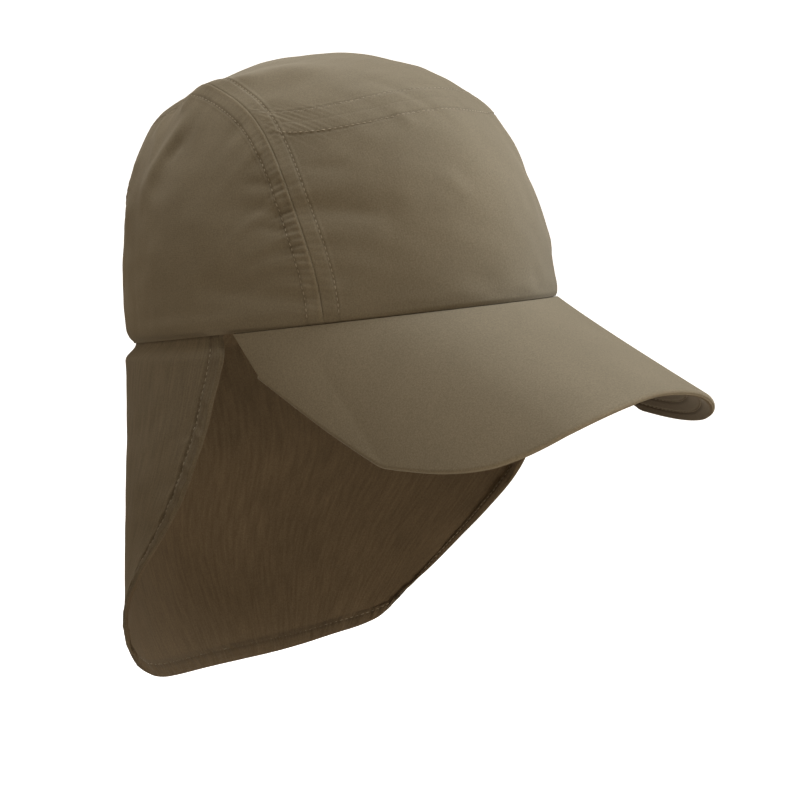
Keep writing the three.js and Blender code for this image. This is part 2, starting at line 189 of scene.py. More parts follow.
class Graph:
    """The shader graph of a material or a world."""

    def __init__(self, owner: bpy.types.Material | bpy.types.World) -> None:
        """Takes up the owner's graph."""
        owner.use_nodes = True
        self.nodes, self.links = owner.node_tree.nodes, owner.node_tree.links

    def feed(self, node: bpy.types.Node, inputs: dict[str | int, object]) -> None:
        """Gives sockets of a node their constants or links.

        Args:
            node: whose sockets they are.
            inputs: a constant or another node's output, by the socket's name or number.
        """
        for key, value in inputs.items():
            if isinstance(value, Socket):
                self.links.new(value, node.inputs[key])
            else:
                node.inputs[key].default_value = value

    def add(self, kind: str, inputs: dict[str | int, object]) -> bpy.types.Node:
        """Adds a node of a kind and feeds its inputs."""
        node = self.nodes.new(f"ShaderNode{kind}")
        self.feed(node, inputs)
        return node

    def read(self, name: str) -> Socket:
        """Value of a point attribute of the piece."""
        node = self.add("Attribute", {})
        node.attribute_name = name
        return node.outputs["Fac"]

    def math(self, operation: str, *values: Socket | float) -> Socket:
        """Works out a sum.

        Args:
            operation: in the node's own words.
            values: that it takes.

        Returns:
            The result.
        """
        node = self.add("Math", {})
        node.operation = operation
        self.feed(node, dict(enumerate(values)))
        return node.outputs["Value"]

    def blend(self, share: Socket, first: Colour, second: Colour) -> Socket:
        """Mixes two colours.

        Args:
            share: of the second one.
            first: colour.
            second: colour.

        Returns:
            The mixed colour.
        """
        node = self.add("Mix", {})
        node.data_type = "RGBA"
        self.feed(node, {"Factor": share, "A": (*first, 1), "B": (*second, 1)})
        return node.outputs["Result"]

    def noise(self, place: Socket, scale: float, detail: float, middle: float, swing: float) -> Socket:
        """Noise round a value.

        Args:
            place: where the noise is read.
            scale: of the noise.
            detail: of the noise.
            middle: its middle value.
            swing: how far it goes to each side.

        Returns:
            The noise.
        """
        noise = self.add("TexNoise", {"Vector": place, "Scale": scale, "Detail": detail})
        spread = self.add("MapRange", {"Value": noise.outputs["Fac"], "From Min": 0.3, "From Max": 0.7})
        self.feed(spread, {"To Min": middle - swing, "To Max": middle + swing})
        return spread.outputs["Result"]


@dataclass(frozen=True)
class ClothFinish:
    """Matt woven cotton, mottled as garment cloth is.

    Attributes:
        name: of the material.
        colour: linear colour of the cloth.
        inside: darker, browner colour of its inner face, painted shade of the inner and under sides.
        mottle: how much its colour wanders.
        speckle: how much single threads differ.
        slub: how much streaks of thicker yarn show.
        sheen: fuzz of the fibres.
        weave: height of the weave in millimetres.
        shine_through: share of the light that the cloth lets pass.
    """

    name: str
    colour: Colour
    inside: Colour
    mottle: float = 0.04
    speckle: float = 0.13
    slub: float = 0.0
    sheen: float = 0.25
    weave: float = 0.03
    shine_through: float = 0.0

    def material(self) -> bpy.types.Material:
        """Builds the material.

        Returns:
            A material that reads the piece's UV map, in centimetres, and its point attributes.
        """
        made = bpy.data.materials.new(self.name)
        graph = Graph(made)
        shader = graph.nodes["Principled BSDF"]
        uv = graph.add("UVMap", {})
        uv.uv_map = "cloth"
        place = graph.add("TexCoord", {}).outputs["Object"]
        colour = self._colour(graph, uv.outputs["UV"], place)
        graph.feed(shader, {
            "Base Color": colour,
            "Normal": self._bump(graph, uv.outputs["UV"], place),
            "Roughness": 0.92,
            "Sheen Weight": self.sheen,
            "Sheen Roughness": 0.5,
            "Sheen Tint": (0.9, 0.88, 0.8, 1),
            "Specular IOR Level": 0.15,
        })
        if self.shine_through:
            glow = graph.add("BsdfTranslucent", {"Color": colour})
            blend = graph.add("MixShader", {
                "Fac": self.shine_through, 1: shader.outputs["BSDF"], 2: glow.outputs["BSDF"],
            })
            graph.feed(graph.nodes["Material Output"], {"Surface": blend.outputs["Shader"]})
        return made

    def _colour(self, graph: Graph, flat: Socket, place: Socket) -> Socket:
        """Cloth colour with mottling and slubs, times the painted shade and highlight of the shade attribute,
        and the inner face's darker colour, which is painted shade.

        Args:
            graph: of the material.
            flat: flat place on the cloth, in centimetres.
            place: on the piece, in metres.

        Returns:
            The colour.
        """
        # The inner face takes the darker inside colour: painted shade.
        tone = graph.blend(graph.read("inner"), self.colour, self.inside)
        # Painted shade and highlight from the shade attribute, then the cloth's mottling, speckle and slubs.
        grain_and_painted_shade = graph.read("shade")
        for scale, detail, swing in ((38, 3, self.mottle), (1700, 2, self.speckle)):
            grain_and_painted_shade = graph.math("MULTIPLY", grain_and_painted_shade, graph.noise(place, scale, detail, 1, swing))
        if self.slub:
            stretch = graph.add("Mapping", {"Vector": flat, "Scale": (7.0, 0.7, 1.0)})
            streak = graph.noise(stretch.outputs["Vector"], 1, 3, 1, self.slub)
            grain_and_painted_shade = graph.math("MULTIPLY", grain_and_painted_shade, streak)
        scaled = graph.add("VectorMath", {0: tone})
        scaled.operation = "SCALE"
        graph.feed(scaled, {"Scale": grain_and_painted_shade})
        return scaled.outputs["Vector"]

    def _bump(self, graph: Graph, flat: Socket, place: Socket) -> Socket:
        """Plain weave with slightly uneven threads.

        Args:
            graph: of the material.
            flat: flat place on the cloth, in centimetres.
            place: on the piece, in metres.

        Returns:
            The surface's direction.
        """
        threads = []
        for direction in ("X", "Y"):
            wave = graph.add("TexWave", {"Vector": flat, "Scale": 5.0, "Distortion": 3.0, "Detail": 1.0})
            wave.bands_direction = direction
            threads.append(wave.outputs["Fac"])
        weave = graph.math("MULTIPLY", *threads)
        height = graph.math("ADD", weave, graph.noise(place, 900, 2, 0.5, 0.5))
        bump = graph.add("Bump", {"Strength": 0.5, "Distance": self.weave * MM, "Height": height})
        return bump.outputs["Normal"]


@dataclass(frozen=True)
class ThreadFinish:
    """Spun sewing thread, a little lighter than the cloth."""

    name: str
    colour: Colour

    def material(self) -> bpy.types.Material:
        """Builds the material, with the thread's uneven twist.

        Returns:
            A material that reads Object coordinates.
        """
        made = bpy.data.materials.new(self.name)
        graph = Graph(made)
        place = graph.add("TexCoord", {}).outputs["Object"]
        twist = graph.add("TexNoise", {"Vector": place, "Scale": 700}).outputs["Fac"]
        dark, light = (tuple(part * share for part in self.colour) for share in (0.7, 1.3))
        graph.feed(graph.nodes["Principled BSDF"], {
            "Base Color": graph.blend(twist, dark, light), "Roughness": 0.7, "Sheen Weight": 0.2,
        })
        return made


# Making


def ease_ends(t: Array, pull: float = 0.5) -> Array:
    """Moves even steps from 0 to 1 closer together towards both ends."""
    c = 2 * t - 1
    return 0.5 + 0.5 * ((1 - pull) * c + pull * np.sin(c * math.pi / 2))


def lay_cloth(bm: Shape, flat: Array) -> None:
    """Shades a shape smoothly and gives it the UV map "cloth".

    Args:
        bm: the shape.
        flat: flat place in centimetres of each of its points.
    """
    uv = bm.loops.layers.uv.new("cloth")
    bm.verts.index_update()
    for face in bm.faces:
        face.smooth = True
        for loop in face.loops:
            loop[uv].uv = flat[loop.vert.index]


def cloth_wall(
    name: str, cells: tuple[int, int], place: Wall, flat: tuple[float, float, float], shade: Place
) -> Piece:
    """Makes a closed wall of cloth from a grid that is drawn out to its second face.

    Args:
        name: of the object.
        cells: across and along the grid.
        place: place in millimetres from shares across and along, 0 outside or 1 inside.
        flat: share across where the weave starts, and the flat cloth's width and length.
        shade: painted shade and highlight, as shares of the cloth's colour, 1 where none is painted.

    Returns:
        The object, with a UV map "cloth" in centimetres and point attributes "inner" and "shade".
    """
    bm = bmesh.new()
    bmesh.ops.create_grid(bm, x_segments=cells[0], y_segments=cells[1], size=0.5)
    across, along, inside, tone = (
        bm.verts.layers.float.new(layer) for layer in ("across", "along", "inner", "shade")
    )
    for vert in bm.verts:
        vert[across], vert[along] = vert.co.x + 0.5, vert.co.y + 0.5
    fronts = list(bm.verts)
    drawn = bmesh.ops.extrude_face_region(bm, geom=[*bm.faces, *bm.edges, *bm.verts], use_keep_orig=True)
    backs = [e for e in drawn["geom"] if isinstance(e, bmesh.types.BMVert)]
    for verts, side in ((fronts, 0), (backs, 1)):
        u, w = np.array([(v[across], v[along]) for v in verts]).T
        # Each point keeps its painted shade and highlight in the shade layer.
        for vert, spot, light in zip(verts, place(u, w, side) * MM, shade(u, w)):
            vert.co = spot
            vert[inside] = side
            vert[tone] = light
    u, w = np.array([(v[across], v[along]) for v in bm.verts]).T
    start, width, length = flat
    lay_cloth(bm, np.stack([(u - start) * width, w * length], -1) / 10)
    bmesh.ops.recalc_face_normals(bm, faces=bm.faces)
    crisp_edges(bm, inside)
    return finished(bm, name)


def crisp_edges(bm: Shape, inside: bmesh.types.BMLayerItem) -> None:
    """Marks the edges where the faces of a wall meet its cut sides.

    Args:
        bm: the wall.
        inside: vertex layer that is 1 on the inner face.
    """
    for edge in bm.edges:
        cut = [len({v[inside] for v in face.verts}) > 1 for face in edge.link_faces]
        edge.smooth = len(set(cut)) < 2


def finished(bm: Shape, name: str) -> Piece:
    """Turns a bmesh into a linked object at the origin.

    Args:
        bm: the shape, in metres.
        name: of the object.

    Returns:
        The object.
    """
    mesh = bpy.data.meshes.new(name)
    bm.to_mesh(mesh)
    bm.free()
    piece = bpy.data.objects.new(name, mesh)
    bpy.context.scene.collection.objects.link(piece)
    return piece


@dataclass
class Stitching:
    """A row of machine stitches sunk into cloth.

    Attributes:
        pitch: from stitch to stitch.
        length: of one stitch.
        thread: its thickness.
        sink: how deep its middle lies.
    """

    pitch: float
    length: float
    thread: float
    sink: float

    def sew(self, bm: Shape, line: Array, outwards: Array) -> int:
        """Lays stitches along a line.

        Args:
            bm: what they are added to.
            line: points of the row, in millimetres.
            outwards: the cloth's outward direction at each.

        Returns:
            How many stitches were laid.
        """
        steps = np.linalg.norm(np.diff(line, axis=0), axis=1)
        along = np.concatenate([[0], np.cumsum(steps)])
        spots = np.arange(self.pitch / 2, along[-1] - self.pitch / 3, self.pitch)

        def at(values: Array, places: Array) -> Array:
            """Values of the row at distances along it."""
            return np.stack([np.interp(places, along, column) for column in values.T], -1)

        middle, normal = at(line, spots), unit(at(outwards, spots))
        run = unit(at(line, spots + 0.4) - at(line, spots - 0.4))
        for c, n, t in zip(middle, normal, run):
            side = np.cross(n, t)
            place = Matrix.Identity(4)
            for k, axis in enumerate((t * self.length / 2, side * self.thread / 2, n * self.thread / 2)):
                place.col[k][:3] = axis * MM
            place.col[3][:3] = (c - n * self.sink) * MM
            bmesh.ops.create_icosphere(bm, subdivisions=1, radius=1.0, matrix=place)
        return len(spots)


def dress(piece: Piece, finish: bpy.types.Material, slot: str, *nodes: str) -> None:
    """Gives a piece its material and ties it to the part.

    Args:
        piece: to be dressed.
        finish: its material.
        slot: the record's material slot; not used.
        nodes: the CAD nodes it stands for.
    """
    piece.data.materials.append(finish)
    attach(piece, "root")
    if nodes:
        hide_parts(*nodes)
    LOG.info("%s: %d faces", piece.name, len(piece.data.polygons))


# The crown


@dataclass
class CrownShape:
    """The one smooth surface that the crown's panels are cut from.

    Attributes:
        width: across the rim, outside.
        front: from the middle of the rim to its front.
        back: to its back.
        height: from the rim to the top.
        lean: how far behind the middle the top lies.
        tip: degrees by which the rim rises to the front.
        plan_power: exponent of the rim oval.
        side_power: exponent of the upright sections.
        cross_middle: degrees over the top of the cross seam's middle.
        cross_sweep: how much further back it meets the side seams.
        stitch_gap: from a seam to each of its stitch rows.
        seam_over: degrees over the top of the rows of the side seams' table.
        seam_slope: sideways slope of the seams there.
        seam_rise: how far the cloth swells out at them, as a share.
        seam_flat: how far the strip's middle falls in, as a share.
        shoulder: how far beyond a seam its swelling fades, as a share of the strip.
        fullness: exponent of the fall from the seams to the strip's middle.
        gather_at: millimetres along a side seam of the rows of its gathers' table.
        gather: strength of the gathers there.
        gather_slant: how far they lean along the seam for each millimetre beside it.
        far_gather: share of that strength on the left side.
        folds: soft folds, as the turn and lift of both ends, height by the cap's and half width.
        creases: creases on top of them, with heights in millimetres.
    """

    width: float = 163.0
    front: float = 106.0
    back: float = 103.0
    height: float = 110.0
    lean: float = 8.0
    tip: float = 10.0
    plan_power: float = 1.87
    side_power: float = 2.62
    cross_middle: float = 47.0
    cross_sweep: float = 19.0
    stitch_gap: float = 6.5
    seam_over: Row = (0, 35, 70, 110, 150, 180)
    seam_slope: Row = (0.96, 0.855, 0.6, 0.41, 0.4, 0.4)
    seam_rise: Row = (0, 0.006, 0.014, 0.014, 0.01, 0)
    seam_flat: Row = (0, 0.006, 0.012, 0.01, 0.006, 0)
    shoulder: float = 0.45
    fullness: float = 2.2
    gather_at: Row = (0, 8, 16, 30, 45, 58, 66, 80, 100, 150, 250, 320)
    gather: Row = (0, 0.35, 0.85, 1.0, 0.95, 0.85, 0.45, 0.5, 0.35, 0.4, 0.35, 0)
    gather_slant: float = 0.42
    far_gather: float = 0.5
    folds: Table = (
        (-95, 63, -40, 67, 0.016, 5),
        (-90, 56, -108, 40, 0.014, 5),
        (-92, 50, -102, 42, -0.012, 5),
        (-127, 50, -126, 36, 0.014, 6),
        (-46, 28, -62, 32, -0.008, 4),
        (-46, 7, -78, 14, -0.01, 4),
        (-42, 28, -25, 23, -0.01, 4),
        (90, 57, 106, 44, 0.012, 6),
        (-95, 84, 5, 78, 0.02, 9),
        (34, 45, 34, 37, 0.018, 6),
        (-141, 30, -138, 44, -0.013, 11),
        (-121, 62, -121, 71, -0.016, 7),
    )
    creases: Table = (
        (-95, 63, -60, 66, 1.0, 2.2),
        (-95, 62, -101, 58, 0.9, 2.0),
        (-90, 56, -108, 41, 1.1, 2.2),
        (-91, 51, -100, 46, -0.9, 1.8),
        (-125, 59, -108, 46, 0.9, 2.2),
        (-127, 48, -127, 38, 0.9, 2.4),
        (-47, 34, -62, 37, -0.8, 1.5),
        (-46, 28, -60, 31, -0.9, 1.7),
        (-46, 23, -58, 26, -0.7, 1.4),
        (-78, 14, -60, 10, -0.7, 2.6),
        (-42, 28, -25, 23, -0.7, 1.8),
        (-43, 37, -31, 35, -0.4, 1.6),
        (-9, 30, -4, 22, 0.5, 2.0),
        (-14, 46, -11, 40, 0.5, 1.6),
        (48, 30, 62, 34, -0.8, 1.8),
        (46, 22, 60, 25, -0.7, 1.6),
        (95, 60, 112, 46, 0.9, 2.4),
        (150, 55, 175, 48, -0.8, 3.0),
        (-170, 30, -150, 36, 0.7, 2.6),
        (140, 26, 165, 20, 0.7, 2.8),
        (-160, 7, -118, 7, 1.6, 6.0),
        (38, 8, 38, 30, 1.6, 9.0),
        (10, 62, 34, 52, 0.9, 7.0),
        (-152, 66, -154, 50, 1.0, 6.0),
    )

    def __post_init__(self) -> None:
        """Draws the puckers and creases, and measures the seam."""
        self.pucker: dict[int, tuple[Ripple, ...]] = {}
        for side in (-1, 0, 1):
            gathers = Ripple(11 + side, 1.6, even=0.25)
            self.pucker[side] = (gathers, Ripple(31 + side, 18), Ripple(51 + side, 5.5))
        self.crease = Crumple(5, 26)
        self.fine_crease = Crumple(8, 9)
        over = np.linspace(0, 180, 361)
        line = self.shell(over_top(over, self.slope(over)))
        steps = np.linalg.norm(np.diff(line, axis=0), axis=1)
        self.seam_run = (over, np.concatenate([[0], np.cumsum(steps)]))

    def column(self, values: Row, over: Array) -> Array:
        """A column of the seam's table at degrees over the top."""
        return table_curve(np.array(self.seam_over, float), np.array(values, float), over)

    def slope(self, over: Array) -> Array:
        """Sideways slope of the side seam at degrees over the top."""
        return self.column(self.seam_slope, over)

    def cross(self, across: Array) -> Array:
        """Degrees over the top of the cross seam at a share across the strip."""
        return self.cross_middle + self.cross_sweep * across**2

    def seam_relief(self, d: Array) -> Array:
        """How far the seams stand out and the strip between them falls in.

        Args:
            d: directions from the middle of the rim.

        Returns:
            Shares of the crown's radius.
        """
        over = np.degrees(np.arctan2(np.maximum(d[:, 2], 0), -d[:, 1]))
        across = np.abs(d[:, 0]) / np.maximum(np.hypot(d[:, 1], d[:, 2]), 1e-6) / self.slope(over)
        rise, flat = self.column(self.seam_rise, over), self.column(self.seam_flat, over)
        beside = rise * bell(across - 1, self.shoulder)
        between = rise - (rise + flat) * (1 - np.minimum(across, 1) ** self.fullness)
        return np.where(across > 1, beside, between)

    def fold_relief(self, d: Array) -> Array:
        """Height of the soft folds in millimetres."""
        return self.height * self._lines(d, self.folds, 0)

    @staticmethod
    def _lines(d: Array, rows: Table, taper: float) -> Array:
        """Sums rounded ridges along lines between two places.

        Args:
            d: directions.
            rows: turn and lift of both ends, height and half width in degrees.
            taper: share of a ridge's height that fades towards its ends.

        Returns:
            The height at each direction, in the table's unit.
        """
        height = np.zeros(len(d))
        for turn_a, lift_a, turn_b, lift_b, swell, spread in rows:
            a, b = turned(turn_a, lift_a), turned(turn_b, lift_b)
            t = np.clip((d - a) @ (b - a) / ((b - a) @ (b - a)), 0, 1)
            away = np.linalg.norm(d - a - t[:, None] * (b - a), axis=1)
            fade = 1 - taper * (1 - smooth_step(1 - np.abs(2 * t - 1), -0.3, 0.6))
            height += swell * fade * bell(away, math.radians(spread))
        return height

    def shell(self, direction: Array) -> Array:
        """Smooth outer face of the crown, with its rim level.

        Args:
            direction: from the middle of the rim.

        Returns:
            Points in millimetres.
        """
        d = unit(direction)
        reach = np.where(d[:, 1] < 0, self.front, self.back)
        plan = (np.abs(d[:, 0]) * 2 / self.width) ** self.plan_power
        plan = plan + (np.abs(d[:, 1]) / reach) ** self.plan_power
        upright = (np.maximum(d[:, 2], 0) / self.height) ** self.side_power
        radius = (plan ** (self.side_power / self.plan_power) + upright) ** (-1 / self.side_power)
        fade = smooth_step(d[:, 2], 0, math.sin(math.radians(7)))
        point = d * (radius * (1 + self.seam_relief(d)) + self.fold_relief(d) * fade)[:, None]
        point[:, 1] += self.lean / self.height * point[:, 2]
        return point

    def normal(self, direction: Array) -> Array:
        """Outward directions of the smooth face.

        Args:
            direction: from the middle of the rim.

        Returns:
            Directions of length 1.
        """
        d = unit(direction)
        pole = np.where(np.abs(d[:, 2:]) < math.sqrt(0.5), [[0.0, 0.0, 1.0]], [[0.0, 1.0, 0.0]])
        side = unit(np.cross(pole, d))
        up = np.cross(d, side)

        def across(axis: Array) -> Array:
            """Way over the face along an axis.

            Args:
                axis: sideways of each direction.

            Returns:
                From a little before the direction to a little after it.
            """
            ends = [d + axis * 0.02, d - axis * 0.02]
            for end in ends:
                end[:, 2] = np.maximum(end[:, 2], 0)
            return self.shell(ends[0]) - self.shell(ends[1])

        return unit(np.cross(across(side), across(up)))

    def seam_place(self, d: Array) -> tuple[Array, ...]:
        """Where directions lie beside the seams.

        Args:
            d: directions from the middle of the rim.

        Returns:
            Millimetres outwards of the side seam, along it, and behind the cross seam.
        """
        radius = np.linalg.norm(self.shell(d), axis=1)
        over = np.degrees(np.arctan2(np.maximum(d[:, 2], 0), -d[:, 1]))
        slope = np.abs(d[:, 0]) / np.maximum(np.hypot(d[:, 1], d[:, 2]), 1e-6)
        seam = self.slope(over)
        beside = (np.arctan(slope) - np.arctan(seam)) * radius
        along = np.interp(over, *self.seam_run)
        share = np.minimum(slope / seam, 1)
        behind = np.radians(over - self.cross(share)) * radius * np.cos(np.arctan(slope))
        return beside, along, behind

    def seam_dress(self, d: Array) -> Array:
        """Welts, grooves and gathers along the seams.

        Args:
            d: directions from the middle of the rim.

        Returns:
            Millimetres outwards.
        """
        beside, along, behind = self.seam_place(d)
        total = self._welt(np.abs(beside), np.where(beside > 0, 0.2, -0.12))
        for side in Side:
            total += np.where(d[:, 0] * side.value > 0, self._gathers(side, beside, along), 0)
        return total + smooth_step(-beside, 0.5, 3) * self._cross_dress(d[:, 0] * 130 + 200, behind)

    def _gathers(self, side: Side, beside: Array, along: Array) -> Array:
        """Gathered cloth along one side seam: short ribs, and softer swells beyond them.

        Args:
            side: of the cap.
            beside: millimetres outwards of the seam.
            along: millimetres along it.

        Returns:
            Height in millimetres.
        """
        wave, swell, broad = self.pucker[side.value]
        away, outer = np.abs(beside), beside > 0
        slant = along - self.gather_slant * beside + 0.5 * swell.at(along)
        force = np.interp(along, self.gather_at, self.gather) * (0.75 + 0.25 * swell.at(along + 12))
        force = force * (1.0 if side is Side.RIGHT else self.far_gather)
        ribs = force * np.where(outer, 0.6, 0.22) * wave.at(slant)
        ribs *= smooth_step(away, 0.3, 1.6) * np.exp(-np.maximum(away - 5.5, 0) / np.where(outer, 4, 3))
        soft = force * np.where(outer, 1.1, 0.6) * broad.at(slant + 2.0)
        soft *= smooth_step(away, 1.5, 6) * np.exp(-np.maximum(away - 8, 0) / np.where(outer, 13, 9))
        return ribs + soft

    def _cross_dress(self, run: Array, behind: Array) -> Array:
        """Lapped cloth along the cross seam, with its stitch grooves and puckers.

        Args:
            run: millimetres along the seam.
            behind: millimetres behind it.

        Returns:
            Height in millimetres.
        """
        wave, swell, broad = self.pucker[0]
        past = np.abs(behind)
        ripples = 0.16 * wave.at(run + 0.6 * behind) * (0.6 + 0.4 * swell.at(run))
        ripples *= np.exp(-np.maximum(past - 6, 0) / 4) * smooth_step(past, 0.1, 1.2)
        ripples += 0.22 * broad.at(run + 0.5 * behind) * np.exp(-np.maximum(past - 7, 0) / 8)
        lap = 0.28 * (1 - smooth_step(past, self.stitch_gap - 0.4, self.stitch_gap + 2.2))
        lap = lap - 0.3 * bell(past - self.stitch_gap, 0.6) - 0.07 * bell(past, 0.7)
        return lap + ripples

    def _welt(self, away: Array, lip: Array) -> Array:
        """Section of a seam with its allowance stitched down on each side.

        Args:
            away: distance from the seam.
            lip: how much higher the edge itself lies.

        Returns:
            Height in millimetres.
        """
        welt = 0.5 * (1 - smooth_step(away, self.stitch_gap - 0.2, self.stitch_gap + 2.2))
        welt = welt + (lip + 0.22) * bell(away, 1.3) - 0.3 * bell(away, 0.35)
        return welt - 0.55 * bell(away - self.stitch_gap, 0.6)

    def shade(self, direction: Array) -> Array:
        """Painted shade and highlight: darker in the stitched grooves and the gathers' hollows, lighter on
        the seam's edge and the gathers' ridges.

        Args:
            direction: from the middle of the rim.

        Returns:
            Shares of the cloth's own tone.
        """
        beside, _, behind = self.seam_place(unit(direction))
        away, past = np.abs(beside), np.abs(behind)
        # Painted shade in the stitch rows, painted highlight on the seam's edge, and painted shade and
        # highlight from the gathers' height.
        row = bell(away - self.stitch_gap, 0.7) + 0.6 * bell(past - self.stitch_gap, 0.7) * (beside < -0.5)
        gather = np.clip(self.seam_dress(unit(direction)) - self._welt(away, 0 * away), -0.8, 0.5)
        gather = gather * np.exp(-away / 14)
        return 1 - 0.14 * np.minimum(row, 1) + 0.14 * bell(beside - 0.8, 0.7) + 0.16 * gather

    def face(self, direction: Array, depth: float = 0.0) -> Array:
        """Points of the dressed crown.

        Args:
            direction: from the middle of the rim.
            depth: under the outer face.

        Returns:
            Points in millimetres, with the rim tipped as it is worn.
        """
        d = unit(direction)
        smooth = self.shell(d)
        normal = self.normal(d)
        flat = d[:, 2] < 1e-6
        normal[flat, 2] = 0
        normal = unit(normal)
        rise = self.seam_dress(d) + self._lines(d, self.creases, 1.0)
        rise = rise + 0.32 * self.crease.at(smooth) + 0.12 * self.fine_crease.at(smooth)
        rise = rise * smooth_step(smooth[:, 2], 0, 5)
        roll = self._roll(smooth_step(-d[:, 1], 0.35, 0.6), smooth[:, 2])
        kept = 1 - 0.62 * min(depth, 1)
        return self.tipped(smooth + normal * (rise - roll * kept - depth)[:, None])

    @staticmethod
    def _roll(ahead: Array, height: Array) -> Array:
        """How far the sewn edge by the rim is drawn in, less so over the peak.

        Args:
            ahead: 1 over the peak, 0 round the sides and back.
            height: over the rim.

        Returns:
            Millimetres inwards, with a soft swelling above the edge.
        """
        edge = (1.35 - 0.6 * ahead) * bell(height, 1.5 - 0.5 * ahead)
        return edge - 0.5 * (1 - 0.6 * ahead) * bell(height - 5.5, 3.2)

    def tipped(self, points: Array) -> Array:
        """Points of the level cap with the rim raised to the front."""
        a = math.radians(self.tip)
        x, y, z = points[:, 0], points[:, 1], points[:, 2]
        return np.stack([x, y * math.cos(a) + z * math.sin(a), z * math.cos(a) - y * math.sin(a)], -1)

    def rim(self, turn: Array, depth: Array, height: Array) -> Array:
        """Points by the level rim.

        Args:
            turn: degrees from the front.
            depth: under the crown's outer face.
            height: over the rim.

        Returns:
            Points in millimetres.
        """
        flat = turned(turn, np.zeros_like(turn))
        lift = np.degrees(np.arctan2(np.maximum(height, 0), np.linalg.norm(self.shell(flat), axis=1)))
        d = turned(turn, lift)
        normal = self.normal(d)
        low = height <= 0
        normal[low, 2] = 0
        point = self.shell(d) - unit(normal) * np.broadcast_to(depth, turn.shape)[:, None]
        point[low, 2] = np.broadcast_to(height, turn.shape)[low]
        return point


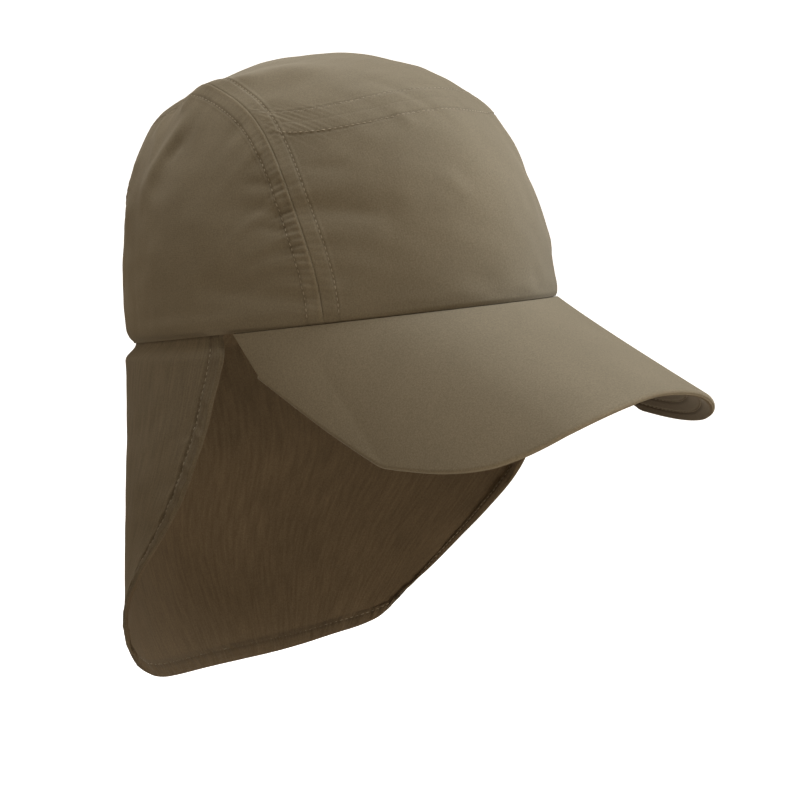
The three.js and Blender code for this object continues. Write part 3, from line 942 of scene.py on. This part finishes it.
@dataclass
class Crown:
    """The four sewn panels of the crown and their stitching.

    Attributes:
        shape: the surface they are cut from.
        cloth: finish of the panels.
        thread: finish of the stitches.
        wall: thickness of the cloth.
        seam_gap: between neighbouring panels.
        cross_radius: from the middle of the rim to the cross seam.
        strip_cells: across the front and top panels.
        front_cells: along the front panel.
        top_cells: along the top panel.
        side_cells: across and along a side panel.
    """

    shape: CrownShape
    cloth: ClothFinish
    thread: ThreadFinish
    wall: float = 1.5
    seam_gap: float = 0.04
    cross_radius: float = 108.0
    strip_cells: int = 170
    front_cells: int = 120
    top_cells: int = 250
    side_cells: tuple[int, int] = (190, 120)

    def build(self) -> list[Piece]:
        """Builds and dresses the panels and the stitching.

        Returns:
            The pieces.
        """
        finish = self.cloth.material()
        half_gap = math.degrees(self.seam_gap / self.shape.width) / 4
        front = self._strip("front_panel", self.front_cells, (0, 0), (1, -half_gap))
        top = self._strip("top_panel", self.top_cells, (1, half_gap), (0, 180))
        right, left = self._side_panel(Side.RIGHT), self._side_panel(Side.LEFT)
        for panel in (front, top, right, left):
            dress(panel, finish, "crown_cloth", panel.name.removesuffix("_cloth"))
        seams = self._stitches()
        dress(seams, self.thread.material(), "crown_cloth")
        return [front, top, right, left, seams]

    def edge_slope(self, over: Array, side: int) -> Array:
        """Sideways slope of a panel's edge beside the seam.

        Args:
            over: degrees over the top.
            side: -1 for the strip between the seams, 1 for a side panel.

        Returns:
            The slope there.
        """
        slope = self.shape.slope(over)
        radius = np.linalg.norm(self.shape.shell(over_top(over, slope)), axis=1)
        return slope + side * self.seam_gap / 2 * (1 + slope**2) / radius

    def _panel(
        self, node: str, cells: tuple[int, int], heading: Place, flat: tuple[float, float, float]
    ) -> Piece:
        """Makes a wall of the crown's cloth.

        Args:
            node: the CAD node it stands for.
            cells: across and along it.
            heading: directions from shares across and along it.
            flat: share across where the weave starts, and the flat cloth's width and length.

        Returns:
            The panel.
        """

        def place(u: Array, v: Array, side: int) -> Array:
            """Points of the outer face, or of the inner one for side 1."""
            return self.shape.face(heading(u, v), self.wall * side)

        def shade(u: Array, v: Array) -> Array:
            """Painted shade and highlight of the cloth."""
            return self.shape.shade(heading(u, v))

        return cloth_wall(f"{node}_cloth", cells, place, flat, shade)

    def _strip(
        self, node: str, rows: int, start: tuple[float, float], end: tuple[float, float]
    ) -> Piece:
        """Makes a panel between the side seams.

        Args:
            node: the CAD node it stands for.
            rows: of cells along it.
            start: its first line over the top, as a share of the cross seam's place and added degrees.
            end: its last line, in the same way.

        Returns:
            The panel.
        """

        def heading(u: Array, v: Array) -> Array:
            """Directions of the strip's points.

            Args:
                u: share across.
                v: share along.

            Returns:
                Directions from the middle of the rim.
            """
            across = 2 * ease_ends(u) - 1
            first, last = (share * self.shape.cross(across) + added for share, added in (start, end))
            over = first + (last - first) * ease_ends(v)
            return over_top(over, across * self.edge_slope(over, -1))

        return self._panel(node, (self.strip_cells, rows), heading, (0.5, 125, rows * 0.95))

    def _side_panel(self, side: Side) -> Piece:
        """Makes a rounded panel between the rim and one side seam.

        Args:
            side: of the cap.

        Returns:
            The panel.
        """
        turn_over = self.shape.cross(np.array([1.0]))[0]
        feet = [math.degrees(math.atan(self.edge_slope(np.array([o]), 1)[0])) for o in (0.0, 180.0)]

        def seam(station: Array) -> Array:
            """Flat map of the seam.

            Args:
                station: share of the way over the top, a third of it before the cross seam.

            Returns:
                Places on the map.
            """
            early = station * 3 * turn_over
            late = turn_over + (station * 1.5 - 0.5) * (180 - turn_over)
            over = np.where(station < 1 / 3, early, late)
            d = over_top(over, self.edge_slope(over, 1))
            return d[:, 1:] / (1 + d[:, :1])

        def rim(share: Array) -> Array:
            """Flat map of the rim at a share of the way to the back."""
            d = turned(feet[0] + (180 - feet[1] - feet[0]) * share, np.zeros_like(share))
            return d[:, 1:] / (1 + d[:, :1])

        def heading(u: Array, v: Array) -> Array:
            """Directions of the panel's points, spread between its four edges on the flat map.

            Args:
                u: share across.
                v: share along.

            Returns:
                Directions from the middle of the rim.
            """
            u, v = ease_ends(u), ease_ends(v)
            a, b, zero, one = u[:, None], v[:, None], 0 * u, 0 * u + 1
            m = rim(u) * (1 - b) + seam(0.25 + 0.5 * u) * b
            m = m + seam(0.25 * v) * (1 - a) + seam(1 - 0.25 * v) * a
            m = m - rim(zero) * (1 - a) * (1 - b) - rim(one) * a * (1 - b)
            m = m - seam(0.25 * one) * (1 - a) * b - seam(0.75 * one) * a * b
            square = (m**2).sum(1)
            x = (1 - square) / (1 + square)
            z = np.where(v < 1e-6, 0, m[:, 1] * (1 + x))
            return np.stack([x * side.value, m[:, 0] * (1 + x), z], -1)

        return self._panel(f"side_panel_{side.name.lower()}", self.side_cells, heading, (0.0, 160, 110))

    def _stitches(self) -> Piece:
        """Sews the rows beside the side seams and the cross seam.

        Returns:
            The stitches.
        """
        bm = bmesh.new()
        row = Stitching(pitch=2.35, length=1.75, thread=0.5, sink=-0.02)
        shape = self.shape
        gaps = (-shape.stitch_gap, shape.stitch_gap)
        over = np.linspace(2.5, 177, 500)
        slope = shape.slope(over)
        radius = np.linalg.norm(shape.shell(over_top(over, slope)), axis=1)
        turns = [np.tan(np.arctan(slope) + away / radius) * side.value for side in Side for away in gaps]
        lines = [over_top(over, turn) for turn in turns]
        across = np.linspace(-0.9, 0.9, 200)
        for away in gaps:
            over = shape.cross(across) + math.degrees(away / self.cross_radius)
            lines.append(over_top(over, across * shape.slope(over)))
        count = sum(row.sew(bm, shape.face(d), shape.face(d) - shape.face(d, 1.0)) for d in lines)
        LOG.info("crown stitches: %d", count)
        return finished(bm, "crown_stitching")


# The peak


@dataclass
class Peak:
    """The long curved peak: a stiff sheet in a cloth cover with a rolled, stitched edge.

    Attributes:
        crown: the surface it is sewn to.
        cloth: finish of its cover.
        thread: finish of its stitches.
        thickness: of the whole sheet.
        width: across its widest station.
        station: how far ahead of the rim's middle that is.
        reach: from there to the front edge.
        squareness: exponent of its outline.
        slope: degrees by which it falls from the rim plane.
        droop: extra fall at the sides.
        droop_power: exponent of that fall along a quarter wave from the middle.
        twist: how far its left side stands above its middle.
        turn: degrees by which its outline is turned to the wearer's left, as it is worn.
        ease_at: degrees round the outline of the rows of its edge's table.
        ease: how much higher the edge lies there, in millimetres.
        spread: degrees of the rim to each side that its root is sewn to.
        seat: how far under the rim its root lies.
        inset: from the crown's outer face in to its flange.
        lip: thickness of the flange.
        flange: seam allowance turned up inside the rim.
        stitch_rows: rows of stitches round the under face.
        row_pitch: from row to row.
        first_row: from the edge to the first row.
        cover_share: share of the way round the section where the upper cover ends and the under face's darker
            inside colour, painted shade, begins.
        cells: across the peak and round its section.
    """

    crown: CrownShape
    cloth: ClothFinish
    thread: ThreadFinish
    thickness: float = 3.0
    width: float = 162.7
    station: float = 33.5
    reach: float = 135.4
    squareness: float = 2.79
    slope: float = 32.3
    droop: float = 10.2
    droop_power: float = 5.36
    twist: float = 3.5
    turn: float = 4.7
    ease_at: Row = (-90, -75, -60, -52, -45, -38, -30, -10, 20, 45, 70, 90)
    ease: Row = (0.6, -0.1, 0.2, -0.4, -0.9, -0.5, 0.1, -0.2, 0.3, -0.6, 0.4, 0)
    spread: float = 71.1
    seat: float = 0.3
    inset: float = 2.1
    lip: float = 1.2
    flange: float = 7.0
    stitch_rows: int = 6
    row_pitch: float = 7.0
    first_row: float = 4.5
    cover_share: float = 0.515
    cells: tuple[int, int] = (220, 260)

    def build(self) -> list[Piece]:
        """Builds and dresses the peak and its stitching.

        Returns:
            The pieces.
        """
        body = self._body()
        dress(body, self.cloth.material(), "peak_cloth", "peak")
        rows = self._stitches()
        dress(rows, self.thread.material(), "peak_cloth")
        return [body, rows]

    def edge(self, sweep: Array) -> Array:
        """Outer edge of the sheet, with the rim level.

        Args:
            sweep: radians round the outline.

        Returns:
            Points in millimetres.
        """
        side, ahead = np.sin(sweep), np.maximum(np.cos(sweep), 0)
        radius = (np.abs(side) ** self.squareness + ahead**self.squareness) ** (-1 / self.squareness)
        x = self.width / 2 * side * radius
        reach = self.station + self.reach * ahead * radius
        root = abs(self.crown.shell(turned(np.array([self.spread]), np.array([0.0])))[0, 0])
        share = np.minimum(np.abs(x), root) / (self.crown.width / 2)
        rim = self.crown.front * (1 - share**self.crown.plan_power) ** (1 / self.crown.plan_power)
        fall = math.tan(math.radians(self.slope)) * (reach - rim)
        share = x * 2 / self.width
        droop = self.droop * np.sin(math.pi / 2 * np.abs(share)) ** self.droop_power
        a = math.radians(self.turn)
        height = self.twist * share - self.seat - fall - droop
        height = height + np.interp(np.degrees(sweep), self.ease_at, self.ease)
        aside = x * math.cos(a) + reach * math.sin(a)
        return np.stack([aside, x * math.sin(a) - reach * math.cos(a), height], -1)

    def top(self, sweep: Array, share: Array) -> Array:
        """Upper face of the sheet, with the rim level.

        Args:
            sweep: radians round the outline.
            share: of the way from the root to the edge.

        Returns:
            Points in millimetres.
        """
        turn = self.spread * sweep * 2 / math.pi
        root = self.crown.rim(turn, 0 * turn, 0 * turn - self.seat)
        return root + (self.edge(sweep) - root) * share[:, None]

    def run(self, sweep: Array) -> Array:
        """Way over the sheet from its root to its edge."""
        return self.top(sweep, 0 * sweep + 1) - self.top(sweep, 0 * sweep)

    def frame(self, sweep: Array, share: Array) -> tuple[Array, Array]:
        """Upward and outward directions of the sheet.

        Args:
            sweep: radians round the outline.
            share: of the way from the root to the edge.

        Returns:
            Both directions, of length 1.
        """
        after = np.minimum(sweep + 0.02, math.pi / 2)
        before = np.maximum(sweep - 0.02, -math.pi / 2)
        across = self.top(after, share) - self.top(before, share)
        out = unit(self.run(sweep))
        up = unit(np.cross(across, out))
        up = np.where(up[:, 2:] < 0, -up, up)
        rim = np.cross(unit(across), up)
        rim = np.where((rim * out).sum(1, keepdims=True) < 0, -rim, rim)
        return up, unit(rim)

    def _section(self, sweep: Array, way: Array) -> Array:
        """Closed section of the peak.

        Args:
            sweep: radians round the outline.
            way: 0 at the flange's outer top, 1 at its inner top, by way of the edge.

        Returns:
            Points in millimetres, tipped with the rim.
        """
        # The legs: flange, shelf, upper face, two for the rolled edge, under face, under shelf, inner flange
        stops = np.array([0, 0.03, 0.05, 0.46, 0.5, 0.54, 0.95, 0.97, 1])
        leg = np.interp(way, stops, np.arange(len(stops)))
        turn = self.spread * sweep * 2 / math.pi
        t = self.thickness
        one = np.ones_like(sweep)
        share_top = ease_ends(np.clip(leg - 2, 0, 1), 0.6)
        share_under = ease_ends(np.clip(6 - leg, 0, 1), 0.6) * 0.94 + 0.06
        up, out = self.frame(sweep, np.where(leg < 4, share_top, one))
        rise = self.flange * np.clip(1 - leg, 0, 1) - self.seat * np.clip(leg, 0, 1)
        flange = self.crown.rim(turn, self.inset * one, rise)
        shelf = self.crown.rim(turn, self.inset * np.clip(2 - leg, 0, 1), -self.seat * one)
        face = self.top(sweep, share_top)
        angle = np.clip(leg - 3, 0, 2) * math.pi / 2
        groove = 0.45 * bell(angle - math.pi * 0.56, 0.16)
        bulge = (t / 2 - groove)[:, None]
        middle = self.top(sweep, one) - up * t / 2
        nose = middle + up * np.cos(angle)[:, None] * t / 2 + out * np.sin(angle)[:, None] * bulge
        under = self.top(sweep, share_under) - up * self._depth(sweep, share_under)[:, None]
        depth = (self.inset + self.lip) * one
        shelf_under = self.crown.rim(turn, depth, -(self.seat + t) * one)
        rise = self.flange * np.clip(leg - 7, 0, 1) - (self.seat + t) * np.clip(8 - leg, 0, 1)
        inner = self.crown.rim(turn, depth, rise)
        point = np.where((leg < 1)[:, None], flange, shelf)
        for start, part in ((2, face), (3, nose), (5, under)):
            point = np.where((leg >= start)[:, None], part, point)
        blend = np.clip(leg - 6, 0, 1)[:, None]
        point = np.where((leg >= 6)[:, None], under * (1 - blend) + shelf_under * blend, point)
        point = np.where((leg >= 7)[:, None], inner, point)
        return self.crown.tipped(point)

    def _depth(self, sweep: Array, share: Array) -> Array:
        """Depth of the under face, with the stitch rows pressed in.

        Args:
            sweep: radians round the outline.
            share: of the way from the root to the edge.

        Returns:
            Millimetres under the upper face.
        """
        inwards = (1 - share) * np.linalg.norm(self.run(sweep), axis=1)
        depth = np.full_like(share, self.thickness)
        for row in range(self.stitch_rows):
            depth -= 0.3 * bell(inwards - self.first_row - row * self.row_pitch, 0.9)
        return depth

    def _body(self) -> Piece:
        """Makes the cover with its edge roll, the under face and the flange.

        Returns:
            The peak.
        """
        bm = bmesh.new()
        bmesh.ops.create_grid(bm, x_segments=self.cells[0], y_segments=self.cells[1], size=0.5)
        inside, tone = (bm.verts.layers.float.new(layer) for layer in ("inner", "shade"))
        verts = list(bm.verts)
        across = ease_ends(np.array([v.co.x + 0.5 for v in verts]), 0.35)
        way = np.array([v.co.y + 0.5 for v in verts])
        places = self._section((across - 0.5) * math.pi, way) * MM
        for vert, place, share in zip(verts, places, way):
            vert.co = place
            # The under face takes the darker inside colour, painted shade under the peak.
            vert[inside] = 1.0 if share > self.cover_share else 0.0
            vert[tone] = 1.0
        lay_cloth(bm, np.stack([across * 26, np.abs(way - 0.5) * 24], -1))
        rim = [e for e in bm.edges if e.is_boundary]
        low = [e for e in rim if all(abs(way[v.index] - 0.5) > 0.499 for v in e.verts)]
        bmesh.ops.bridge_loops(bm, edges=low)
        bm.verts.ensure_lookup_table()
        for end in (0.0, 1.0):
            rim = [e for e in bm.edges if e.is_boundary]
            loop = [e for e in rim if all(abs(across[v.index] - end) < 1e-6 for v in e.verts)]
            self._close_end(bm, loop, way)
        bmesh.ops.recalc_face_normals(bm, faces=bm.faces)
        return finished(bm, "peak_cover")

    @staticmethod
    def _close_end(bm: Shape, loop: list[bmesh.types.BMEdge], way: Array) -> None:
        """Closes an end of the sheet by joining its two faces straight across.

        Args:
            bm: the peak.
            loop: the open edges of the end.
            way: place round the section of each of the peak's points.
        """
        numbers = sorted({v.index for e in loop for v in e.verts}, key=way.__getitem__)
        verts = [bm.verts[number] for number in numbers]
        for k in range(len(verts) // 2):
            ring = list(dict.fromkeys([verts[k], verts[k + 1], verts[-2 - k], verts[-1 - k]]))
            if len(ring) > 2:
                bm.faces.new(ring)

    def _stitches(self) -> Piece:
        """Sews the rows round the under face.

        Returns:
            The stitches.
        """
        bm = bmesh.new()
        row = Stitching(pitch=2.8, length=2.1, thread=0.4, sink=-0.02)
        sweep = np.linspace(-1.5, 1.5, 500)
        span = np.linalg.norm(self.run(sweep), axis=1)
        count = 0
        for k in range(self.stitch_rows):
            share = 1 - (self.first_row + k * self.row_pitch) / span
            kept = share > 0.1
            s, h = sweep[kept], share[kept]
            up, _ = self.frame(s, h)
            line = self.top(s, h) - up * self._depth(s, h)[:, None]
            count += row.sew(bm, self.crown.tipped(line), -self.crown.tipped(up))
        LOG.info("peak stitches: %d", count)
        return finished(bm, "peak_stitching")


# The neck flap


@dataclass
class NeckFlap:
    """The cloth that hangs from the rim round the sides and back, with its turned hem.

    Attributes:
        crown: the surface it hangs from.
        cloth: finish of the cloth.
        thread: finish of the hem's stitches.
        wall: thickness of the cloth.
        hem: width of the turned hem.
        hem_wall: its thickness.
        stitch_inset: from the hem's inner edge to its stitches.
        inset: from the crown's outer face in to the flap's.
        tuck: seam allowance turned up inside the rim.
        tuck_share: share of the cloth's rows that lie in it.
        half_width: of the flat cloth at the rim, for the hem and the stitches.
        narrowing: how much narrower that is at the lower edge.
        side_drop: from the rim to the lower corners.
        back_drop: to the lowest point of the back edge.
        edge_sweep: exponent of the lower edge.
        start: degrees round from the back where it begins.
        drops: shares of its drop at which the rows of its plan lie.
        sides: half width there as a share of the crown's.
        backs: reach behind the rim's middle as a share of the crown's.
        aheads: how far ahead the middle of its plan lies, as the same share.
        edges: where its free edge lies, as a share of start.
        release: share of its drop over which it leaves the curve of the rim.
        corner: how far its lower corners are drawn in.
        corner_power: exponent of that rounding.
        sag_at: places across of the hem's unevenness.
        sag: how far the hem hangs lower there, in millimetres.
        cells: across and along the cloth.
    """

    crown: CrownShape
    cloth: ClothFinish
    thread: ThreadFinish
    wall: float = 1.1
    hem: float = 7.2
    hem_wall: float = 2.3
    stitch_inset: float = 1.2
    inset: float = 2.1
    tuck: float = 7.0
    tuck_share: float = 0.05
    half_width: float = 150.0
    narrowing: float = 20.0
    side_drop: float = 138.0
    back_drop: float = 158.0
    edge_sweep: float = 3.4
    start: float = 103.5
    drops: Row = (0, 0.33, 0.67, 1)
    sides: Row = (1, 1.15, 1.24, 1.41)
    backs: Row = (1, 0.86, 0.89, 0.7)
    aheads: Row = (0, 0.08, 0.28, 0.26)
    edges: Row = (1, 0.945, 0.68, 0.395)
    release: float = 0.06
    corner: float = 0.010
    corner_power: float = 13.0
    sag_at: Row = (-1, -0.82, -0.63, -0.47, -0.27, 0, 0.18, 0.28, 0.43, 0.57, 0.67, 0.81, 0.9, 1)
    sag: Row = (2.8, 3.2, 2.9, 2.0, 1.2, 0.8, 0.2, -0.3, -1.2, -1.8, -1.5, 0.1, 1.2, 1.2)
    cells: tuple[int, int] = (280, 160)

    def __post_init__(self) -> None:
        """Draws the hem's roping and the cloth's creases."""
        self.rope = Ripple(61, 2.6)
        self.crease = Crumple(71, 34)
        self.fine_crease = Crumple(72, 12)

    def build(self) -> list[Piece]:
        """Builds and dresses the flap and its stitching.

        Returns:
            The pieces.
        """
        body = cloth_wall("neck_flap_cloth", self.cells, self._place, (0.5, 300, 150), self._shade)
        dress(body, self.cloth.material(), "flap_cloth", "neck_flap")
        rows = self._stitches()
        dress(rows, self.thread.material(), "flap_cloth")
        return [body, rows]

    def column(self, values: Row, share: Array) -> Array:
        """A column of the plan's table at shares of the drop."""
        return table_curve(np.array(self.drops), np.array(values, float), share)

    def drop(self, across: Array) -> Array:
        """How far the cloth hangs down at places across."""
        return self.back_drop - (self.back_drop - self.side_drop) * np.abs(across) ** self.edge_sweep

    def half(self, share: Array) -> Array:
        """Half of the flat cloth's width at shares of the drop."""
        return self.half_width - self.narrowing * share

    def hang(self, across: Array, share: Array) -> Array:
        """Smooth outer face of the flap.

        Args:
            across: from -1 at the right free edge to 1 at the left.
            share: from 0 at the rim to 1 at the lower edge.

        Returns:
            Points in millimetres.
        """
        sweep = across * (1 - self.corner * share**self.corner_power)
        fall = share * (1 - self.corner * np.abs(across) ** self.corner_power)
        turn = sweep * self.start * self.column(self.edges, share)
        angle = np.radians(turn)
        top = self.crown.tipped(self.crown.rim(180 - turn, self.inset + 0 * turn, 0 * turn))
        ahead = self.crown.back * self.column(self.aheads, share)
        side = self.crown.width / 2 * self.column(self.sides, share)
        back = self.crown.back * self.column(self.backs, share) + ahead
        free = np.stack([side * np.sin(angle), back * np.cos(angle) - ahead], -1)
        ease = smooth_step(fall, 0, self.release)[:, None]
        height = top[:, 2] * (1 - fall) - self.drop(across) * fall
        height = height - table_curve(np.array(self.sag_at), np.array(self.sag), across) * share**4
        return np.concatenate([top[:, :2] * (1 - ease) + free * ease, height[:, None]], 1)

    def outwards(self, across: Array, share: Array) -> Array:
        """Outward directions of the smooth face.

        Args:
            across: from -1 to 1, as in hang.
            share: from 0 to 1, as in hang.

        Returns:
            Directions of length 1.
        """
        a0, a1 = np.maximum(across - 0.02, -1), np.minimum(across + 0.02, 1)
        s0, s1 = np.maximum(share - 0.02, 0), np.minimum(share + 0.02, 1)
        sideways = self.hang(a1, share) - self.hang(a0, share)
        down = self.hang(across, s1) - self.hang(across, s0)
        return unit(np.cross(sideways, down))

    def hem_place(self, across: Array, share: Array) -> tuple[Array, Array]:
        """Where places lie beside the free edges.

        Args:
            across: from -1 to 1, as in hang.
            share: from 0 to 1, as in hang.

        Returns:
            Millimetres in from the nearest free edge, and along that edge.
        """
        beside = (1 - np.abs(across)) * self.half(share)
        above = (1 - share) * self.drop(across)
        along = np.where(beside < above, share * 140 + np.where(across > 0, 0, 420), 150 + (across + 1) * 130)
        return np.minimum(beside, above), along

    def face(self, across: Array, share: Array, side: int) -> Array:
        """Dressed outer or inner face of the cloth.

        Args:
            across: from -1 at the right free edge to 1 at the left.
            share: from 0 at the rim to 1 at the lower edge.
            side: 0 for the outer face, 1 for the inner one.

        Returns:
            Points in millimetres.
        """
        smooth = self.hang(across, share)
        out = self.outwards(across, share)
        inwards, along = self.hem_place(across, share)
        hemmed = 1 - smooth_step(inwards, self.hem - 0.6, self.hem + 0.4)
        rope = self.rope.at(along + inwards * 0.8) * smooth_step(inwards, 0.5, 2) * hemmed
        past = np.exp(-np.maximum(inwards - self.hem, 0) / 3) * (1 - hemmed)
        rope = rope + 0.5 * self.rope.at(along) * past
        free = smooth_step(share, 0.0, 0.12)
        rise = 0.55 * self.crease.at(smooth) + 0.16 * self.fine_crease.at(smooth)
        rise = rise * free + 0.42 * rope * free
        edge = 1 - smooth_step(inwards, 0, 1.1)
        groove = 0.5 * bell(inwards - self.hem + self.stitch_inset, 0.7) * free
        wall = self.wall + (self.hem_wall - self.wall) * hemmed
        if side:
            return smooth + out * (rise - wall + groove + edge * wall * 0.42)[:, None]
        return smooth + out * (rise - groove - edge * wall * 0.42)[:, None]

    def _place(self, u: Array, v: Array, side: int) -> Array:
        """Whole face of the cloth, with the tucked allowance above the rim.

        Args:
            u: share across the cloth.
            v: share down it.
            side: 0 for the outer face, 1 for the inner one.

        Returns:
            Points in millimetres.
        """
        across = 2 * ease_ends(u, 0.6) - 1
        share = self._share(v)
        share = share + 0.04 * np.sin(share * math.pi)
        hung = self.face(across, share, side)
        height = self.tuck * np.clip(1 - v / self.tuck_share, 0, 1)
        turn = 180 - across * self.start
        tuck = self.crown.tipped(self.crown.rim(turn, (self.inset + side * self.wall) + 0 * turn, height))
        return np.where((v < self.tuck_share - 0.001)[:, None], tuck, hung)

    def _share(self, v: Array) -> Array:
        """Share of the drop at a share down the whole cloth."""
        return np.clip((v - self.tuck_share) / (1 - self.tuck_share), 0, 1)

    def _shade(self, u: Array, v: Array) -> Array:
        """Painted shade: darker over the doubled hem, where less light shines through, and in dots along its
        stitched groove.

        Args:
            u: share across the cloth.
            v: share down it.

        Returns:
            Shares of the cloth's own tone.
        """
        across = 2 * ease_ends(u, 0.6) - 1
        inwards, along = self.hem_place(across, self._share(v))
        hemmed = 1 - smooth_step(inwards, self.hem - 0.8, self.hem + 0.4)
        groove = bell(inwards - self.hem + self.stitch_inset, 0.8)
        # Painted shade over the hem, and dotted along the stitch groove.
        return 1 - 0.12 * hemmed - 0.3 * groove * (0.5 + 0.5 * np.sin(along * 2 * math.pi / 2.5))

    def _stitches(self) -> Piece:
        """Sews the row that holds the turned hem, seen on both faces.

        Returns:
            The stitches.
        """
        bm = bmesh.new()
        row = Stitching(pitch=2.5, length=1.8, thread=0.4, sink=0.0)
        inset = self.hem - self.stitch_inset
        share = np.linspace(0.03, 0.93, 160)
        low = np.linspace(-0.93, 0.93, 260)
        upright = 1 - inset / self.half(share)
        lines = [(-upright, share), (low, 1 - inset / self.drop(low)), (upright, share)]
        count = 0
        for across, down in lines:
            for side in (0, 1):
                out = self.outwards(across, down) * (1 - 2 * side)
                count += row.sew(bm, self.face(across, down, side), out)
        LOG.info("flap stitches: %d", count)
        return finished(bm, "flap_stitching")


# The studio


@dataclass
class Studio:
    """Pale floor, soft lights and the camera.

    Attributes:
        azimuth: of the camera in degrees, 0 looking along +Y.
        elevation: of the camera in degrees.
        distance: from the middle of the picture, in metres.
        focal: in pixels of an 800 pixel picture.
        centre: place of the picture's middle along the camera's right and up, in metres.
        floor_height: of the floor.
    """

    azimuth: float = -40.986
    elevation: float = 9.35
    distance: float = 1.6
    focal: float = 3832.0
    centre: tuple[float, float] = (0.025109, -0.033439)
    floor_height: float = -0.42

    def build(self) -> None:
        """Builds the camera, the lights, the world and the floor."""
        self._camera()
        self._world()
        self._light("key", (1.25, -0.75, 1.0), 0.8, 22, (0.97, 0.985, 1.0))
        self._light("top", (0.1, -0.1, 1.5), 0.7, 11, (1.0, 0.985, 0.97))
        self._light("low_front", (-0.02, -0.62, -0.36), 0.3, 2.9, (1.0, 0.88, 0.72))
        self._light("left_fill", (-1.3, -0.4, 0.2), 0.6, 1.7, (1.0, 0.86, 0.69))
        self._light("left_back", (-0.9, 0.9, 0.3), 0.6, 2.2, (1.0, 0.9, 0.76))
        self._floor()
        LOG.info("studio ready")

    def axes(self) -> tuple[Vector, Vector, Vector]:
        """Directions of the camera.

        Returns:
            Its right, up and backward directions.
        """
        a, e = math.radians(self.azimuth), math.radians(self.elevation)
        right = Vector((math.cos(a), math.sin(a), 0))
        back = Vector((math.sin(a) * math.cos(e), -math.cos(a) * math.cos(e), math.sin(e)))
        return right, back.cross(right), back

    def _camera(self) -> None:
        """The camera of the photograph's view."""
        right, up, back = self.axes()
        lens = bpy.data.cameras.new("camera")
        lens.sensor_width = 36.0
        lens.lens = self.focal * 36.0 / 800
        lens.clip_end = 50
        camera = bpy.data.objects.new("camera", lens)
        bpy.context.scene.collection.objects.link(camera)
        spot = right * self.centre[0] + up * self.centre[1] + back * self.distance
        place = Matrix.Identity(4)
        for k, axis in enumerate((right, up, back, spot)):
            place.col[k][:3] = axis
        camera.matrix_world = place
        bpy.context.scene.camera = camera
        bpy.context.scene.view_settings.view_transform = "Standard"

    def _world(self) -> None:
        """Even white behind the object, and a soft light that is weaker from below."""
        world = bpy.data.worlds.new("studio")
        bpy.context.scene.world = world
        graph = Graph(world)
        back = graph.nodes["Background"]
        graph.feed(back, {"Color": (1, 1, 1, 1), "Strength": 1.0})
        split = graph.add("SeparateXYZ", {"Vector": graph.add("TexCoord", {}).outputs["Generated"]})
        height = graph.math("MULTIPLY_ADD", split.outputs["Z"], 0.5, 0.5)
        ramp = graph.add("ValToRGB", {"Fac": height})
        ends = ((0.35, (0.11, 0.07, 0.04, 1)), (0.9, (0.38, 0.31, 0.225, 1)))
        for element, (position, colour) in zip(ramp.color_ramp.elements, ends):
            element.position, element.color = position, colour
        soft = graph.add("Background", {"Color": ramp.outputs["Color"]})
        mix = graph.add("MixShader", {
            "Fac": graph.add("LightPath", {}).outputs["Is Camera Ray"],
            1: soft.outputs["Background"],
            2: back.outputs["Background"],
        })
        graph.feed(graph.nodes["World Output"], {"Surface": mix.outputs["Shader"]})

    @staticmethod
    def _light(name: str, place: Row, size: float, power: float, colour: Colour) -> None:
        """Hangs a square soft light that faces the cap.

        Args:
            name: of the light.
            place: in metres.
            size: of its side.
            power: in watts.
            colour: of its light.
        """
        lamp = bpy.data.lights.new(name, "AREA")
        lamp.size = size
        lamp.energy = power
        lamp.color = colour
        light = bpy.data.objects.new(name, lamp)
        bpy.context.scene.collection.objects.link(light)
        light.visible_camera = False
        light.location = place
        light.rotation_euler = Vector(place).to_track_quat("Z", "Y").to_euler()

    def _floor(self) -> None:
        """A wide plain floor that gives no light back to the cap."""
        bm = bmesh.new()
        bmesh.ops.create_grid(bm, x_segments=1, y_segments=1, size=14)
        bmesh.ops.translate(bm, vec=(0, 0, self.floor_height), verts=bm.verts)
        floor = finished(bm, "floor")
        paint = bpy.data.materials.new("pale_floor")
        graph = Graph(paint)
        graph.feed(graph.nodes["Principled BSDF"], {
            "Base Color": (0.9, 0.9, 0.9, 1), "Roughness": 0.9,
            "Emission Color": (1, 1, 1, 1), "Emission Strength": 1.0,
        })
        floor.data.materials.append(paint)
        floor.visible_diffuse = False
        floor.visible_glossy = False


def main() -> None:
    """Builds the cap and the studio."""
    logging.basicConfig(level=logging.INFO, format="%(name)s: %(message)s")
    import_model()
    shape = CrownShape()
    # The second colour of each cloth is its inner face's, darker and browner: painted shade of the inner and
    # under sides.
    cloth = ClothFinish("crown_cloth", (0.20, 0.175, 0.125), (0.17, 0.135, 0.09))
    cover = ClothFinish("peak_cloth", (0.20, 0.175, 0.125), (0.10, 0.075, 0.045), speckle=0.14)
    drape = ClothFinish("flap_cloth", (0.19, 0.16, 0.11), (0.18, 0.138, 0.088), slub=0.13, shine_through=0.22)
    thread = ThreadFinish("sewing_thread", (0.34, 0.30, 0.225))
    Crown(shape, cloth, thread).build()
    Peak(shape, cover, thread).build()
    NeckFlap(shape, drape, thread).build()
    Studio().build()


if __name__ == "__main__":
    main()
